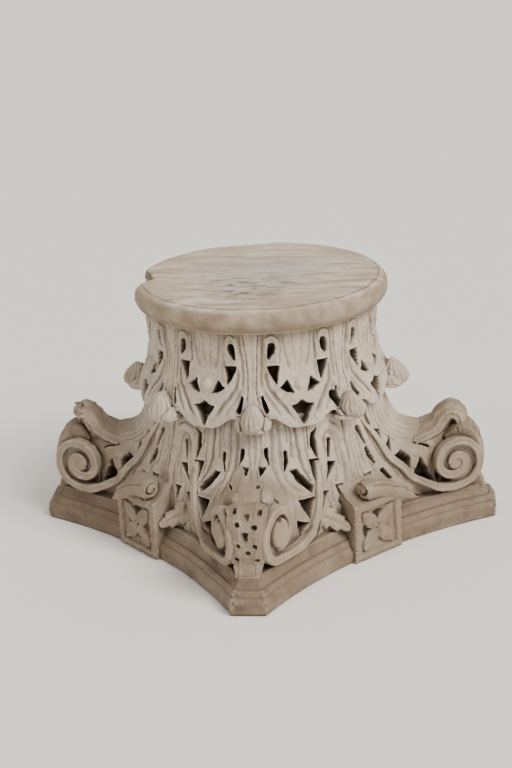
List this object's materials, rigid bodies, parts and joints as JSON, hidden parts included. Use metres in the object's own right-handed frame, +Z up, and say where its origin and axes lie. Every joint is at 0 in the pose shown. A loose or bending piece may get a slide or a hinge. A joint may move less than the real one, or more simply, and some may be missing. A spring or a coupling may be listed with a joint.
{
  "type": "column capital",
  "caption": "Carved marble capital used upside down as a pedestal: square hollow-sided base with cut corners, volutes, rows of pierced leaves and a round flat top with a broken notch.",
  "frame": {"origin": "centre of the underside of the abacus, on the floor", "axes": "+Z up through the middle of the round top; one cut corner of the abacus points along -Y and one along +X"},
  "size_m": [0.64, 0.64, 0.352],
  "materials": {
    "marble": "matte"
  },
  "bodies": {
    "root": {"capital": "marble"}
  },
  "joints": []
}
